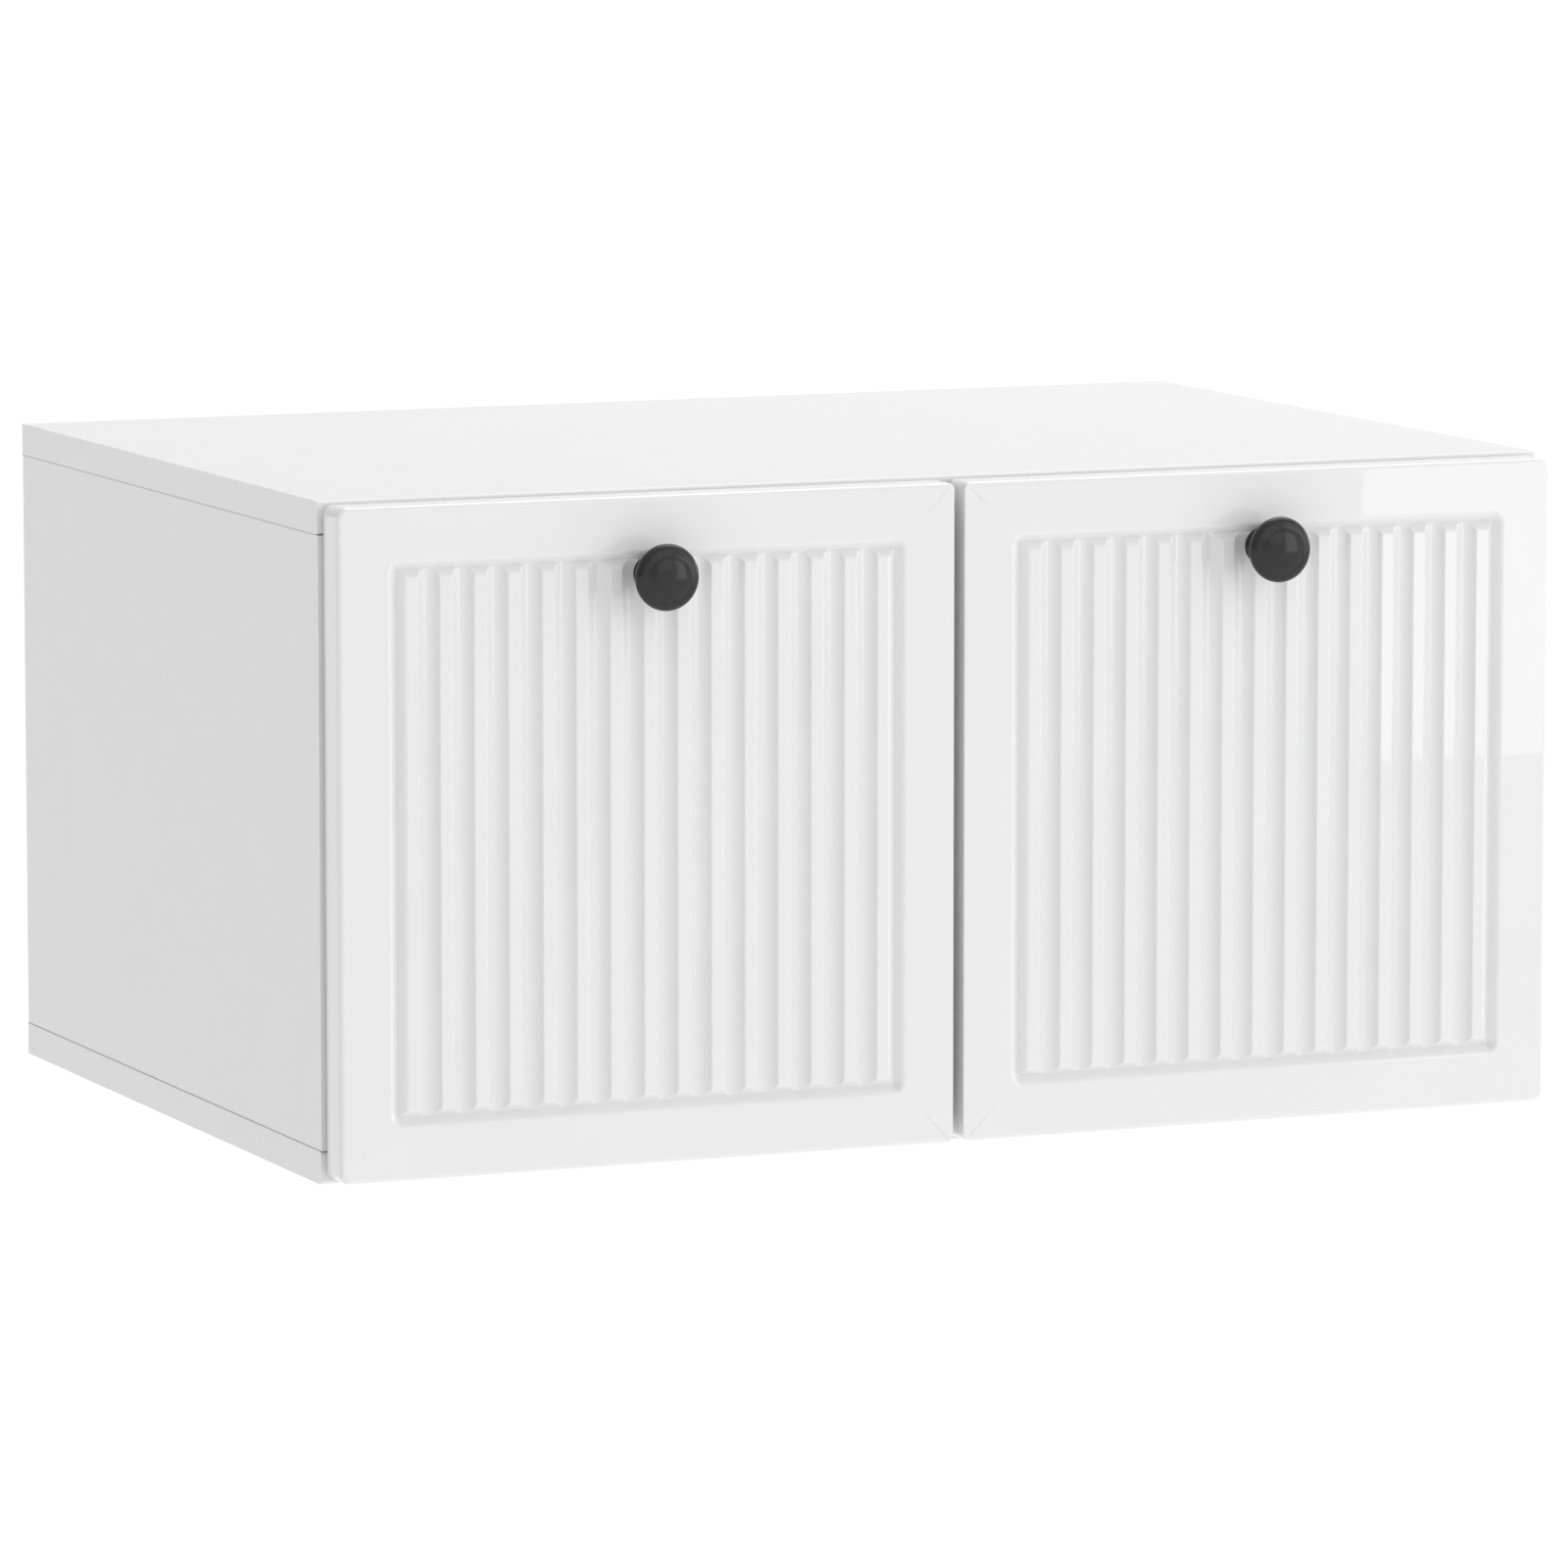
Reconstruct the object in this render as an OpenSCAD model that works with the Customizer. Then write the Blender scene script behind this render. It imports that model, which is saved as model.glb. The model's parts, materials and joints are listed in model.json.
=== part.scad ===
// Wall-hung cabinet with two fluted fall flaps, carcass of 15 mm board
// X runs along the front, Y from the front to the wall, Z up.
// The origin is the middle of the bounding box's underside.

/* [Carcass] */
// Width over the top and bottom boards
cab_w = 600; // [560:5:660]
// Height from the underside to the top face
cab_h = 304; // [300:2:340]
// Depth of the boards, without the flaps
cab_d = 405; // [380:5:450]
// Thickness of the carcass boards
board = 15; // [15:1:16]
// How far the side boards stand in from the ends of the top and bottom boards
side_inset = 0.2; // [0:0.1:1]
// Thickness of the back panel
back_t = 3; // [3:0.5:4]
// Depth of the space between the back panel and the wall
wall_space = 16.8; // [16:0.2:20]

/* [Flaps] */
// Thickness of a flap
flap_t = 18; // [18:1:19]
// Gap between the flaps and the front edges of the carcass
flap_gap = 1.6; // [1.6:0.1:2.2]
// Gap between the two flaps
mid_gap = 5; // [4:0.5:6]
// Distance from a flap's outer edge to the end of the top board
end_reveal = 2; // [1:0.5:3]
// Distance from a flap's top edge to the top face
top_reveal = 1.5; // [1:0.5:2]
// Distance from a flap's bottom edge to the underside
bottom_reveal = 2.5; // [2:0.5:3]
// Radius of the rounded front edges of a flap
edge_r = 2.5; // [2:0.5:3]
// Angle that a flap opens
open_angle = 90; // [80:5:90]

/* [Fluted field] */
// Plain border around the fluted field
border = 24.5; // [22:0.5:28]
// Number of flutes across one flap
flutes = 14; // [10:1:14]
// Depth of a flute
flute_depth = 3.4; // [3:0.1:3.6]
// Flat land between two flutes
land_w = 6; // [5:0.5:8]
// Depth of the V groove that frames the field, half its width
groove = 3.6; // [3.6:0.1:4]

/* [Knobs] */
// Diameter of a knob's head
knob_d = 30; // [28:1:34]
// Distance that a knob stands out from the flap
knob_out = 25; // [24:1:28]
// Height of the knobs' axis below a flap's top edge
knob_drop = 34.5; // [32:0.5:45]

/* [Hidden] */
$fn = 64;
slack = 0.05;          // running clearance of pins and screws
fit = 0.1;             // clearance around pressed-in fittings
inner_w = (cab_w - 2 * side_inset - 3 * board) / 2;
inner_h = cab_h - 2 * board;
inner_side = board / 2 + inner_w;          // inner face of a side board, from the middle
back_y = cab_d - wall_space - back_t;      // front face of the back panel
front_y = -(flap_gap + flap_t);            // front face of the flaps
origin_y = (cab_d + front_y - knob_out) / 2;
panel_r = 2;           // rounded front edges of the carcass boards
back_in = 6;           // depth of the groove that holds the back panel
back_play = 0.2;       // play of the back panel in its groove

flap_w = (cab_w - 2 * end_reveal - mid_gap) / 2;
flap_h = cab_h - top_reveal - bottom_reveal;
flap_x = (mid_gap + flap_w) / 2;           // middle of a flap
field_w = flap_w - 2 * border;
field_h = flap_h - 2 * border;
pitch = (field_w - 4 * groove - land_w) / flutes;
flute_w = pitch - land_w;
flute_r = (pow(flute_w / 2, 2) + pow(flute_depth, 2)) / (2 * flute_depth);
corner_r = 5;          // outer corners of a flap, seen from the front
meet_corner_r = 3.2;   // corners where the flaps meet
meet_edge_r = 1;       // rounded front edge where the flaps meet
back_edge_r = 2;       // rounded lower back edge, clears the carcass as the flap turns

// Cup hinges: one pin on the flap's turning axis in each cup
cup_r = 17.5;
cup_depth = 12;
cup_wall = 1;
cup_margin = 3;        // board left between the cup hole and the flap's edge
pin_r = 1;
pin_half = 8.4;        // half a pin's length, held in the cup's two bearing blocks
block_in = 5.5;        // bearing blocks start this far from the hinge's middle
block_half = 3.5;
pin_back = 9;          // pin axis, in from the flap's back face
pin_up = 6.3;          // pin axis, up from the flap's bottom edge
axis_y = -flap_gap - pin_back;
axis_z = bottom_reveal + pin_up;
cup_z = bottom_reveal + cup_margin + cup_r;
hinge_end = 50;        // hinge middle, in from each end of a flap
hinge_xs = [flap_x - flap_w / 2 + hinge_end, flap_x + flap_w / 2 - hinge_end];
web_z = board + 7.2;   // underside of the hinge arm's web
web_t = 1.5;
arm_half = 8;          // half the width of the arm's channel
arm_wall = 1.2;
arm_y = 5;             // the channel's front and back ends
arm_end = 58;
plate_t = 2.2;         // wings of the mounting plate
plate_y = 37;          // screw line of the mounting plates, from the front edge
flange_w = 58;
flange_t = 1.2;
cup_screw_dx = 22.5;
cup_screw_dz = 9.5;

// Damper struts: both pivots lie on one circle about the flap's axis,
// so a strut turns by exactly half of the flap's angle
strut_circle = 120;
strut_flap_y = 19;     // flap pivot, behind the flap's axis
strut_flap_z = sqrt(pow(strut_circle, 2) - pow(strut_flap_y, 2));
strut_side_angle = 12; // direction of the side pivot from the flap's axis
strut_f = [axis_y + strut_flap_y, axis_z + strut_flap_z];
strut_g = [axis_y + strut_circle * cos(strut_side_angle), axis_z + strut_circle * sin(strut_side_angle)];
strut_x = inner_side - 11;
strut_closed = norm(strut_g - strut_f);
strut_angle0 = atan2(strut_g[1] - strut_f[1], strut_g[0] - strut_f[0]);
flap_span = atan2(strut_flap_z, strut_flap_y) - strut_side_angle;
strut_open = 2 * strut_circle * sin((flap_span + open_angle) / 2);
eye_r = 6;
eye_t = 6;
stud_r = 3;
stud_head_r = 4.6;
side_plate_t = 2.5;    // plate of the bracket on the side board
flap_plate_t = 2;      // plate of the bracket on the flap
ear_x = 2;             // gap between that bracket's ear and the side board
ear_t = 2.5;
tube_r = 5.5;
tube_bore = 4.2;
tube_start = 8;        // tube's closed end, from the side pivot
tube_len = 118;
rod_r = 3;
cap_t = 6;             // tube's end cap that the rod slides through
piston_t = 5;
rod_len = strut_open - tube_start - tube_len + cap_t + piston_t + 0.5;

// Magnet catches and pads at the top of the opening
catch_w = 40;
catch_h = 10;
pad_r = 4;
pad_inset = 18;
strike_t = 1.2;

knob_z = cab_h - top_reveal - knob_drop;
knob_screw_r = 2;
knob_base_r = 8.4;
knob_rim_r = 3.5;
knob_rim_z = knob_out - 5.5;
knob_dome_r = 34.5;

// Joints of the carcass: cam locks and dowels along Y
cam_ys = [60, back_y - 60];
dowel_ys = [92, back_y - 92];
cam_r = 7.5;
cam_depth = 12.5;
cam_in = 24;           // cam axis, in from the end of the board
bolt_r = 3.5;
bolt_thread = 11;      // length screwed into the top or bottom board
dowel_r = 4;
dowel_len = 30;
dowel_deep = 20;       // part of a dowel in the upright board

// Hangers and wall rail
hanger_l = 38;
hanger_h = 44;
hanger_t = 15;
hanger_z = cab_h - board - hanger_h - 4;
hook_z = hanger_z + 24;
hook_w = 10;
hook_x = inner_side - hanger_t / 2;
rail_w = 2 * inner_side - 4;
rail_hole_x = 160;
rail_hole_r = 3;
rail_t = 2;

// Wood screws: radius, length, head radius
cup_screw = [1.75, 11, 3.2];
plate_screw = [1.75, 12, 3.4];
bracket_screw = [1.75, 10, 3.2];
catch_screw = [1.5, 12, 3];
strike_screw = [1.5, 9, 2.8];
hanger_screw = [2, 15, 3.6];

white_board = [0.95, 0.95, 0.94];
white_gloss = [0.97, 0.97, 0.97];
graphite = [0.2, 0.2, 0.21];
steel = [0.75, 0.76, 0.78];
zinc = [0.62, 0.64, 0.66];
beech = [0.85, 0.7, 0.5];
plastic_grey = [0.82, 0.82, 0.82];
silicone = [0.9, 0.93, 0.95];

// ---- shared shapes ----

// Puts a shape into the part's frame; inside, Y = 0 is the front edge of the boards
module placed() translate([0, -origin_y, 0]) children();

// side = -1 is the left half, side = 1 the right half
module on_side(side) mirror([side < 0 ? 1 : 0, 0, 0]) children();

module box(x0, x1, y0, y1, z0, z1) {
    translate([x0, y0, z0]) cube([x1 - x0, y1 - y0, z1 - z0]);
}

// Cylinders along X, Y and Z, from a start point
module rod_x(p, r, l) translate(p) rotate([0, 90, 0]) cylinder(r = r, h = l);
module rod_y(p, r, l) translate(p) rotate([-90, 0, 0]) cylinder(r = r, h = l);
module rod_z(p, r, l) translate(p) cylinder(r = r, h = l);

// Flat outline with four rounded corners: radii of the low-u and high-u sides
module round_rect(u0, u1, v0, v1, r_low, r_high) {
    translate([u0 + r_low, v0]) square([u1 - u0 - r_low - r_high, v1 - v0]);
    for (side = [[u0, r_low, 0], [u1, r_high, 1]]) {
        r = side[1];
        translate([side[0] - side[2] * r, v0 + r]) square([r, v1 - v0 - 2 * r]);
        for (v = [v0 + r, v1 - r])
            translate([side[0] + (1 - 2 * side[2]) * r, v]) circle(r = r);
    }
}

// Lifts an outline in (Y, Z) along X from x0 to x1
module along_x(x0, x1) {
    translate([x0, 0, 0]) rotate([90, 0, 90]) linear_extrude(height = x1 - x0) children();
}

// Lifts an outline in (X, Z) along Y from y0 to y1
module along_y(y0, y1) {
    translate([0, y1, 0]) rotate([90, 0, 0]) linear_extrude(height = y1 - y0) children();
}

// Countersunk wood screw along +Y from its head's face, then turned by the caller
module wood_screw(s) {
    r = s[0];
    l = s[1];
    head_r = s[2];
    difference() {
        union() {
            rod_y([0, 0, 0], head_r, 0.4);
            translate([0, 0.4, 0]) rotate([-90, 0, 0]) cylinder(r1 = head_r, r2 = r, h = head_r - r);
            rod_y([0, 0.4, 0], r, l - 0.4);
        }
        for (a = [0, 90])
            rotate([0, a, 0]) box(-head_r * 0.6, head_r * 0.6, -0.1, 0.8, -0.4, 0.4);
    }
}

// The hole that such a screw fills
module screw_hole(s) {
    r = s[0];
    l = s[1];
    head_r = s[2];
    rod_y([0, -3, 0], head_r + fit, 3.4 + fit);
    translate([0, 0.4 + fit, 0]) rotate([-90, 0, 0])
        cylinder(r1 = head_r + fit, r2 = r + slack, h = head_r - r + fit - slack);
    rod_y([0, 0, 0], r + slack, l + 0.5);
}

// ---- carcass ----

// Board that lies flat between z0 and z0 + board, with rounded front edges
module flat_board(z0) {
    along_x(-cab_w / 2, cab_w / 2) round_rect(0, cab_d, z0, z0 + board, panel_r, 0.5);
}

module back_groove(z0) {
    box(-inner_side - back_in, inner_side + back_in, back_y - back_play, back_y + back_t + back_play,
        z0, z0 + back_in + 0.5);
}

// Holes that the joint fittings need in the top or bottom board; up = 1 for the top board
module joint_holes(face_z, up) {
    for (x = [-inner_side - board / 2, 0, inner_side + board / 2]) {
        for (y = cam_ys)
            rod_z([x, y, up > 0 ? face_z - 1 : face_z - bolt_thread], 2.5 + slack, bolt_thread + 1);
        for (y = dowel_ys)
            rod_z([x, y, up > 0 ? face_z - 1 : face_z - dowel_len + dowel_deep - fit],
                dowel_r + slack, dowel_len - dowel_deep + 1 + fit);
    }
}

module top_panel() color(white_board) difference() {
    flat_board(cab_h - board);
    back_groove(cab_h - board - 0.5);
    joint_holes(cab_h - board, 1);
    for (side = [-1, 1]) catch_screw_places(side) screw_hole(catch_screw);
}

module bottom_panel() color(white_board) difference() {
    flat_board(0);
    back_groove(board - back_in);
    joint_holes(board, -1);
    for (side = [-1, 1]) on_side(side) for (x = hinge_xs)
        plate_screw_places(x) screw_hole(plate_screw);
}

// Cam, bolt and dowel holes of an upright board whose inner face is at x = face_x
// and whose thickness runs along dir
module upright_holes(face_x, dir) {
    mid_x = face_x + dir * board / 2;
    for (end = [0, 1]) {
        z = end == 0 ? board : cab_h - board;
        sign = end == 0 ? 1 : -1;
        for (y = cam_ys) {
            rod_x([dir > 0 ? face_x - 1 : face_x - cam_depth, y, z + sign * cam_in], cam_r, cam_depth + 1);
            rod_z([mid_x, y, end == 0 ? z - 1 : z - cam_in], bolt_r + 0.3, cam_in + 1);
        }
        for (y = dowel_ys)
            rod_z([mid_x, y, end == 0 ? z - 1 : z - dowel_deep - fit], dowel_r + slack, dowel_deep + 1 + fit);
    }
}

module side_board(side) color(white_board) on_side(side) difference() {
    box(inner_side, inner_side + board, 0, cab_d, board, cab_h - board);
    box(inner_side - 1, inner_side + back_in, back_y - back_play, back_y + back_t + back_play, 0, cab_h);
    upright_holes(inner_side, 1);
    side_screw_places() screw_hole(bracket_screw);
    hanger_screw_places() screw_hole(hanger_screw);
}

module side_left() side_board(-1);
module side_right() side_board(1);

module divider() color(white_board) difference() {
    box(-board / 2, board / 2, 0, back_y - 2 * back_play, board, cab_h - board);
    upright_holes(-board / 2, 1);
}

// Back panel in the groove, with a notch for each hanger hook
module back_panel() color(white_board) difference() {
    reach = back_in - 2 * back_play;
    box(-inner_side - reach, inner_side + reach, back_y, back_y + back_t,
        board - reach, cab_h - board + reach);
    for (side = [-1, 1]) on_side(side)
        box(hook_x - hook_w / 2 - 2, hook_x + hook_w / 2 + 2, back_y - 1, back_y + back_t + 1,
            hook_z - 6, hook_z + 12);
}

// ---- joint fittings of the carcass ----

// Runs its children at each corner joint: in a frame whose origin is the end of the upright
// board's middle plane, +Z into the upright board
module at_joints(ys) {
    for (x = [-inner_side - board / 2, 0, inner_side + board / 2], y = ys) {
        translate([x, y, board]) children();
        translate([x, y, cab_h - board]) mirror([0, 0, 1]) children();
    }
}

// Cam housings: flush with the inner face, so on the left board they open to +X
module cam_locks() color(zinc) for (x = [-inner_side, -board / 2, inner_side]) {
    dir = x < -board ? -1 : 1;
    for (end = [0, 1], y = cam_ys) {
        z = end == 0 ? board + cam_in : cab_h - board - cam_in;
        mid = x + dir * board / 2;
        face = dir > 0 ? x : x - cam_depth + 0.3;
        difference() {
            rod_x([face, y, z], cam_r - fit, cam_depth - 0.3);
            rod_z([mid, y, end == 0 ? z - cam_r - 1 : z - 2], bolt_r + 0.2, cam_r + 3);
            for (a = [0, 90])
                translate([x, y, z]) rotate([a, 0, 0]) box(-1.2, 1.2, -4, 4, -0.7, 0.7);
        }
    }
}

module cam_bolts() color(steel) at_joints(cam_ys) {
    rod_z([0, 0, -bolt_thread + fit], 2.5, bolt_thread - fit);
    rod_z([0, 0, 0], bolt_r, 1.5);
    rod_z([0, 0, 1.5], 2.5, cam_in - 4);
    rod_z([0, 0, cam_in - 2.5], bolt_r - 0.4, 3.5);
}

module dowels() color(beech) at_joints(dowel_ys) {
    rod_z([0, 0, -(dowel_len - dowel_deep)], dowel_r, dowel_len);
}

// ---- flaps ----

// V groove along a line in the front face: an outline across it, run from a to b
module v_along_z(x, z0, z1) {
    translate([x, front_y, z0]) linear_extrude(height = z1 - z0)
        polygon([[-groove - 1, -1], [groove + 1, -1], [0, groove]]);
}

module v_along_x(z, x0, x1) {
    along_x(x0, x1) translate([front_y, z]) polygon([[-1, -groove - 1], [-1, groove + 1], [groove, 0]]);
}

// The cutter's path: flutes between the upright grooves, and a V groove all round
module field_cuts() {
    xg = field_w / 2 - groove;
    zg = field_h / 2 - groove;
    zc = bottom_reveal + flap_h / 2;
    for (side = [-1, 1]) {
        v_along_z(side * xg, zc - zg, zc + zg);
        v_along_x(zc + side * zg, -xg, xg);
        for (top = [-1, 1])
            translate([side * xg, front_y - 1, zc + top * zg]) rotate([-90, 0, 0])
                cylinder(r1 = groove + 1, r2 = 0, h = groove + 1);
    }
    for (i = [0 : flutes - 1])
        rod_z([(i - (flutes - 1) / 2) * pitch, front_y + flute_depth - flute_r, zc - zg], flute_r, 2 * zg);
}

// Plain blank: rounded front edges all round, a small radius at the meeting edge
module flap_blank() {
    w = flap_w / 2;
    intersection() {
        along_x(-w, w)
            translate([front_y, bottom_reveal]) union() {
                translate([edge_r, 0]) square([flap_t - edge_r - back_edge_r, flap_h]);
                translate([0, edge_r]) square([edge_r, flap_h - 2 * edge_r]);
                translate([flap_t - back_edge_r, back_edge_r]) square([back_edge_r, flap_h - back_edge_r]);
                for (z = [edge_r, flap_h - edge_r]) translate([edge_r, z]) circle(r = edge_r);
                translate([flap_t - back_edge_r, back_edge_r]) circle(r = back_edge_r);
            }
        translate([0, 0, bottom_reveal]) linear_extrude(height = flap_h) union() {
            translate([-w, front_y + edge_r]) square([2 * w, flap_t - edge_r]);
            translate([-w + meet_edge_r, front_y]) square([2 * w - meet_edge_r - edge_r, edge_r]);
            translate([-w, front_y + meet_edge_r]) square([meet_edge_r, edge_r - meet_edge_r]);
            translate([-w + meet_edge_r, front_y + meet_edge_r]) circle(r = meet_edge_r);
            translate([w - edge_r, front_y + edge_r]) circle(r = edge_r);
        }
        along_y(front_y, -flap_gap)
            round_rect(-w, w, bottom_reveal, bottom_reveal + flap_h, meet_corner_r, corner_r);
    }
}

module flap(side) color(white_gloss) on_side(side) translate([flap_x, 0, 0]) difference() {
    flap_blank();
    field_cuts();
    for (x = hinge_xs) translate([x - flap_x, 0, 0]) {
        rod_y([0, -flap_gap - cup_depth - 0.2, cup_z], cup_r, cup_depth + 1);
        cup_screw_places() screw_hole(cup_screw);
    }
    rod_y([0, front_y - 1, knob_z], knob_screw_r + 0.2, flap_t + 2);
    translate([-flap_x, 0, 0]) {
        flap_bracket_screw_places() screw_hole(bracket_screw);
        strike_screw_places() screw_hole(strike_screw);
    }
}

module flap_left() flap(-1);
module flap_right() flap(1);

// ---- knobs ----

// Turned knob: outline of radius against height, head r over a waisted neck
module knob(side) color(graphite) on_side(side)
    translate([flap_x, front_y, knob_z]) rotate([90, 0, 0]) difference() {
        rotate_extrude() union() {
            square([knob_base_r, 2]);
            translate([0, 1]) difference() {
                square([knob_base_r, knob_out - knob_rim_r - 4]);
                translate([knob_base_r + 3.6, (knob_out - knob_rim_r - 4) / 2]) circle(r = 7.8);
            }
            translate([knob_d / 2 - knob_rim_r, knob_rim_z]) circle(r = knob_rim_r);
            translate([0, knob_rim_z - knob_rim_r]) square([knob_d / 2 - knob_rim_r, 2 * knob_rim_r]);
            translate([0, knob_out - knob_dome_r]) intersection() {
                circle(r = knob_dome_r, $fn = 128);
                translate([0, knob_dome_r - 3.5]) square([knob_d / 2 - knob_rim_r + 0.9, 3.5]);
            }
        }
        translate([0, 0, -1]) cylinder(r = knob_screw_r + slack, h = 13);
    }

module knob_left() knob(-1);
module knob_right() knob(1);

// Machine screw from the flap's back face into the knob
module knob_screw(side) color(steel) on_side(side) difference() {
    union() {
        rod_y([flap_x, -flap_gap, knob_z], 4, 2.2);
        rod_y([flap_x, front_y - 10.5, knob_z], knob_screw_r, flap_t + 10.5);
    }
    for (a = [0, 90])
        translate([flap_x, 0, knob_z]) rotate([0, a, 0]) box(-2.2, 2.2, -0.8, 0.4, -0.4, 0.4);
}

module knob_screw_left() knob_screw(-1);
module knob_screw_right() knob_screw(1);

// ---- cup hinges ----

// Runs its children at the two screws of a cup, +Y into the flap turned to -Y
module cup_screw_places() {
    for (dx = [-cup_screw_dx, cup_screw_dx])
        translate([dx, -flap_gap + flange_t, cup_z + cup_screw_dz]) rotate([0, 0, 180]) children();
}

// Pressed cup with its flange, drilled for the pin
module hinge_cup(side, which) color(steel) on_side(side) translate([hinge_xs[which], 0, 0]) difference() {
    union() {
        difference() {
            union() {
                rod_y([0, -flap_gap - cup_depth, cup_z], cup_r - fit, cup_depth);
                along_y(-flap_gap, -flap_gap + flange_t)
                    round_rect(-flange_w / 2, flange_w / 2, cup_z - 6, cup_z + 18.5, 5, 5);
            }
            rod_y([0, -flap_gap - cup_depth + 0.8, cup_z], cup_r - fit - cup_wall, cup_depth + 2);
        }
        intersection() {
            rod_y([0, -flap_gap - cup_depth, cup_z], cup_r - fit, cup_depth);
            for (x = [-cup_r, block_in])
                box(x, x + cup_r - block_in, axis_y - block_half, axis_y + block_half,
                    axis_z - block_half, axis_z + block_half);
        }
    }
    rod_x([-cup_r, axis_y, axis_z], pin_r + slack, 2 * cup_r);
    cup_screw_places() screw_hole(cup_screw);
}

module hinge_cup_left_outer() hinge_cup(-1, 1);
module hinge_cup_left_inner() hinge_cup(-1, 0);
module hinge_cup_right_inner() hinge_cup(1, 0);
module hinge_cup_right_outer() hinge_cup(1, 1);

module hinge_pins(side) color(steel) on_side(side) for (x = hinge_xs)
    rod_x([x - pin_half, axis_y, axis_z], pin_r, 2 * pin_half);

module hinge_pins_left() hinge_pins(-1);
module hinge_pins_right() hinge_pins(1);

module cup_screws(side) color(steel) on_side(side) for (x = hinge_xs)
    translate([x, 0, 0]) cup_screw_places() wood_screw(cup_screw);

module cup_screws_left() cup_screws(-1);
module cup_screws_right() cup_screws(1);

// Channel-shaped arm; its narrow neck runs into the cup and turns down to the pin
module hinge_arm(side, which) color(steel) on_side(side) translate([hinge_xs[which], 0, 0]) difference() {
    union() {
        box(-arm_half, arm_half, arm_y, arm_end, web_z, web_z + web_t);
        for (x = [-arm_half, arm_half - arm_wall])
            box(x, x + arm_wall, arm_y, arm_end, board + plate_t + 0.4, web_z + web_t);
        along_x(-2.5, 2.5) union() {
            translate([axis_y, web_z]) square([arm_y + 1 - axis_y, web_t]);
            translate([axis_y - 0.8, axis_z]) square([1.6, web_z - axis_z + 0.7]);
            translate([axis_y, web_z + 0.7]) circle(r = 0.8);
            translate([axis_y, axis_z]) circle(r = 1.9);
        }
    }
    rod_x([-4, axis_y, axis_z], pin_r + slack, 8);
    rod_z([0, plate_y + 12, web_z - 1], 2.5, 4);
    box(-2, 2, 12, 22, web_z - 1, web_z + web_t + 1);
}

module hinge_arm_left_outer() hinge_arm(-1, 1);
module hinge_arm_left_inner() hinge_arm(-1, 0);
module hinge_arm_right_inner() hinge_arm(1, 0);
module hinge_arm_right_outer() hinge_arm(1, 1);

// Runs its children at the two screws of a mounting plate, +Y turned down into the board
module plate_screw_places(x) {
    for (dx = [-16, 16])
        translate([x + dx, plate_y, board + plate_t]) rotate([-90, 0, 0]) children();
}

// Cross-shaped plate under the arm
module hinge_plate(side, which) color(zinc) on_side(side) difference() {
    x = hinge_xs[which];
    union() {
        translate([0, 0, board]) linear_extrude(height = plate_t)
            translate([x, plate_y]) round_rect(-22, 22, -6.5, 6.5, 5, 5);
        box(x - 6.4, x + 6.4, 21, 57, board, web_z - 0.1);
    }
    plate_screw_places(x) screw_hole(plate_screw);
    rod_z([x, plate_y + 12, board + 1], 2 + slack, 10);
}

module hinge_plate_left_outer() hinge_plate(-1, 1);
module hinge_plate_left_inner() hinge_plate(-1, 0);
module hinge_plate_right_inner() hinge_plate(1, 0);
module hinge_plate_right_outer() hinge_plate(1, 1);

module plate_screws() color(steel) for (side = [-1, 1]) on_side(side) for (x = hinge_xs)
    plate_screw_places(x) wood_screw(plate_screw);

module arm_screws() color(steel) for (side = [-1, 1]) on_side(side) for (x = hinge_xs) difference() {
    union() {
        rod_z([x, plate_y + 12, web_z + web_t], 3.6, 1.8);
        rod_z([x, plate_y + 12, board + 1.5], 2, web_z + web_t - board - 1.5);
    }
    for (a = [0, 90])
        translate([x, plate_y + 12, web_z + web_t + 1]) rotate([0, 0, a]) box(-2, 2, -0.4, 0.4, 0, 1);
}

// ---- damper struts ----

// Frame along the closed strut: origin at the side pivot, +Y towards the flap pivot
module along_strut() {
    translate([strut_x, strut_g[0], strut_g[1]]) rotate([strut_angle0 + 180, 0, 0]) children();
}

module strut_tube(side) color(graphite) on_side(side) along_strut() difference() {
    union() {
        rod_x([-eye_t / 2, 0, 0], eye_r, eye_t);
        rod_y([0, 5, 0], 4, tube_start - 4);
        rod_y([0, tube_start, 0], tube_r, tube_len);
    }
    rod_x([-eye_t, 0, 0], stud_r + slack, 2 * eye_t);
    rod_y([0, tube_start + 3, 0], tube_bore, tube_len - 3 - cap_t);
    rod_y([0, tube_start + 3, 0], rod_r + slack, tube_len);
}

module strut_tube_left() strut_tube(-1);
module strut_tube_right() strut_tube(1);

module strut_rod(side) color(steel) on_side(side) along_strut() translate([0, strut_closed, 0]) difference() {
    union() {
        rod_x([-eye_t / 2, 0, 0], eye_r, eye_t);
        rod_y([0, -rod_len, 0], rod_r, rod_len - 4);
        rod_y([0, -8, 0], 4, 3);
        rod_y([0, -rod_len, 0], tube_bore - slack, piston_t);
    }
    rod_x([-eye_t, 0, 0], stud_r + slack, 2 * eye_t);
}

module strut_rod_left() strut_rod(-1);
module strut_rod_right() strut_rod(1);

// Collar, stud and riveted head along -X that carry a strut's eye, from the plate's face
module strut_stud(face_x, p) {
    collar_end = strut_x + eye_t / 2 + 0.3;
    rod_x([collar_end, p[0], p[1]], 4.5, face_x - collar_end);
    rod_x([strut_x - eye_t / 2 - 0.3, p[0], p[1]], stud_r, eye_t + 1);
    rod_x([strut_x - eye_t / 2 - 1.8, p[0], p[1]], stud_head_r, 1.5);
}

module side_screw_places() {
    for (dz = [-12, 12])
        translate([inner_side - side_plate_t, strut_g[0], strut_g[1] + dz + 3])
            rotate([0, 0, -90]) children();
}

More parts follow.
